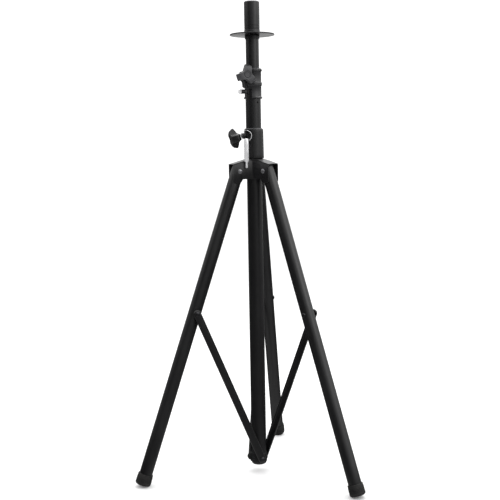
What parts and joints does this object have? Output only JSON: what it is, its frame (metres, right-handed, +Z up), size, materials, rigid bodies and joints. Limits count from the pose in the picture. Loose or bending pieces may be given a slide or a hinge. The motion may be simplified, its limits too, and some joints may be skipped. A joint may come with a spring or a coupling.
{
  "type": "speaker tripod stand",
  "caption": "Black tubular tripod stand for a loudspeaker: folding braced legs, sliding pole, round flange and round top pin, with clamp knobs and a hanging safety pin.",
  "frame": {"origin": "on the floor, at the middle of the standing stand's footprint box; the column's axis is 71.5 mm behind it at -Y", "axes": "+Z up along the column; +Y is the way the rear leg points; +X is to the right seen from the front"},
  "size_m": [0.5222, 0.4571, 1.0936],
  "materials": {
    "powder_black": "satin powder coat",
    "clamp_plastic": "satin",
    "bush_plastic": "matt",
    "knob_grey": "fine grained",
    "knob_black": "fine grained",
    "plug_plastic": "matt",
    "pin_cap_plastic": "matt",
    "foot_rubber": "matt",
    "zinc_steel": "zinc plated",
    "black_steel": "blackened",
    "bright_steel": "nickel plated",
    "brass_pad": "machined"
  },
  "bodies": {
    "column": {"main_tube": "powder_black", "column_end_plug": "plug_plastic", "brace_bracket": "powder_black", "bracket_screws": "black_steel", "upper_clamp_body": "clamp_plastic", "upper_clamp_bush": "bush_plastic", "clamp_nut": "zinc_steel", "plunger_barrel": "clamp_plastic"},
    "clamp_screw": {"clamp_washer": "zinc_steel"},
    "upper_knob": {"upper_knob": "knob_grey", "upper_knob_stud": "zinc_steel", "upper_knob_cap": "knob_grey"},
    "plunger": {"plunger_pin": "zinc_steel", "plunger_cap": "bright_steel", "plunger_spring": "zinc_steel"},
    "pole": {"inner_pole": "powder_black", "pole_guide_bush": "bush_plastic", "pole_end_plug": "plug_plastic", "speaker_flange": "powder_black", "flange_collar": "powder_black", "speaker_pin_sleeve": "powder_black", "speaker_pin_cap": "pin_cap_plastic"},
    "hub": {"hub_star_plate": "powder_black", "hub_web_1": "powder_black", "hub_web_2": "powder_black", "hub_web_3": "powder_black", "leg_pivot_bolts": "zinc_steel", "slide_collar": "powder_black", "slide_collar_bush": "bush_plastic", "collar_boss": "powder_black", "safety_pin_lug": "powder_black"},
    "collar_screw": {"collar_screw_pad": "brass_pad"},
    "lower_knob": {"lower_knob": "knob_black", "lower_knob_stud": "zinc_steel", "lower_knob_cap": "knob_black"},
    "split_ring": {"split_ring": "bright_steel"},
    "safety_pin": {"safety_pin": "bright_steel"},
    "rear_leg": {"rear_leg_tube": "powder_black", "rear_leg_plug": "plug_plastic", "rear_foot": "foot_rubber", "rear_brace_bolt": "black_steel"},
    "rear_brace": {"rear_brace": "powder_black", "rear_brace_rivet": "black_steel"},
    "left_leg": {"left_leg_tube": "powder_black", "left_leg_plug": "plug_plastic", "left_foot": "foot_rubber", "left_brace_bolt": "black_steel"},
    "left_brace": {"left_brace": "powder_black", "left_brace_rivet": "black_steel"},
    "right_leg": {"right_leg_tube": "powder_black", "right_leg_plug": "plug_plastic", "right_foot": "foot_rubber", "right_brace_bolt": "black_steel"},
    "right_brace": {"right_brace": "powder_black", "right_brace_rivet": "black_steel"}
  },
  "joints": [
    {"name": "pole_slide", "type": "slide", "parent": "column", "child": "pole", "axis": [0, 0, 1], "range_m": [-0.06, 0.62]},
    {"name": "hub_slide", "type": "slide", "parent": "column", "child": "hub", "axis": [0, 0, 1], "range_m": [0, 0.04507]},
    {"name": "rear_leg_pivot", "type": "hinge", "parent": "hub", "child": "rear_leg", "pos_m": [0, -0.0308, 0.711], "axis": [-1, 0, 0], "range_deg": [0, 17.44]},
    {"name": "rear_brace_pivot", "type": "hinge", "parent": "rear_leg", "child": "rear_brace", "pos_m": [0, 0.07851, 0.39222], "axis": [-1, 0, 0], "range_deg": [-32.83, 0]},
    {"name": "left_leg_pivot", "type": "hinge", "parent": "hub", "child": "left_leg", "pos_m": [-0.03525, -0.09185, 0.711], "axis": [0.5, -0.866, 0], "range_deg": [0, 17.44]},
    {"name": "left_brace_pivot", "type": "hinge", "parent": "left_leg", "child": "left_brace", "pos_m": [-0.12991, -0.1465, 0.39222], "axis": [0.5, -0.866, 0], "range_deg": [-32.83, 0]},
    {"name": "right_leg_pivot", "type": "hinge", "parent": "hub", "child": "right_leg", "pos_m": [0.03525, -0.09185, 0.711], "axis": [0.5, 0.866, 0], "range_deg": [0, 17.44]},
    {"name": "right_brace_pivot", "type": "hinge", "parent": "right_leg", "child": "right_brace", "pos_m": [0.12991, -0.1465, 0.39222], "axis": [0.5, 0.866, 0], "range_deg": [-32.83, 0]},
    {"name": "clamp_screw_feed", "type": "slide", "parent": "column", "child": "clamp_screw", "axis": [0.5, -0.866, 0], "range_m": [0, 0.00251]},
    {"name": "upper_knob_turn", "type": "hinge", "parent": "clamp_screw", "child": "upper_knob", "pos_m": [-0.02104, -0.08365, 0.9265], "axis": [0.5, -0.866, 0], "range_deg": [0, 720]},
    {"name": "plunger_pull", "type": "slide", "parent": "column", "child": "plunger", "axis": [-0.866, -0.5, 0], "range_m": [0, 0.0045], "stiffness_N_per_m": 600, "springref_m": -0.003, "deforming": ["plunger_spring"]},
    {"name": "collar_screw_feed", "type": "slide", "parent": "hub", "child": "collar_screw", "axis": [-0.8325, -0.4806, -0.2756], "range_m": [0, 0.00251]},
    {"name": "lower_knob_turn", "type": "hinge", "parent": "collar_screw", "child": "lower_knob", "pos_m": [-0.02747, -0.08736, 0.7893], "axis": [-0.8325, -0.4806, -0.2756], "range_deg": [0, 720]},
    {"name": "split_ring_swing", "type": "hinge", "parent": "hub", "child": "split_ring", "pos_m": [-0.01089, -0.10591, 0.8025], "axis": [-0.9848, -0.1736, 0], "range_deg": [0, 75]},
    {"name": "safety_pin_swing", "type": "hinge", "parent": "split_ring", "child": "safety_pin", "pos_m": [-0.01089, -0.10591, 0.7795], "axis": [-0.9848, -0.1736, 0], "range_deg": [0, 75]}
  ],
  "couplings": [
    {"joint": "rear_leg_pivot", "follows": "hub_slide", "rad_per_m": 6.7477},
    {"joint": "rear_brace_pivot", "follows": "hub_slide", "rad_per_m": -12.709},
    {"joint": "left_leg_pivot", "follows": "hub_slide", "rad_per_m": 6.7477},
    {"joint": "left_brace_pivot", "follows": "hub_slide", "rad_per_m": -12.709},
    {"joint": "right_leg_pivot", "follows": "hub_slide", "rad_per_m": 6.7477},
    {"joint": "right_brace_pivot", "follows": "hub_slide", "rad_per_m": -12.709},
    {"joint": "clamp_screw_feed", "follows": "upper_knob_turn", "m_per_rad": 0.00019894},
    {"joint": "collar_screw_feed", "follows": "lower_knob_turn", "m_per_rad": 0.00019894}
  ]
}
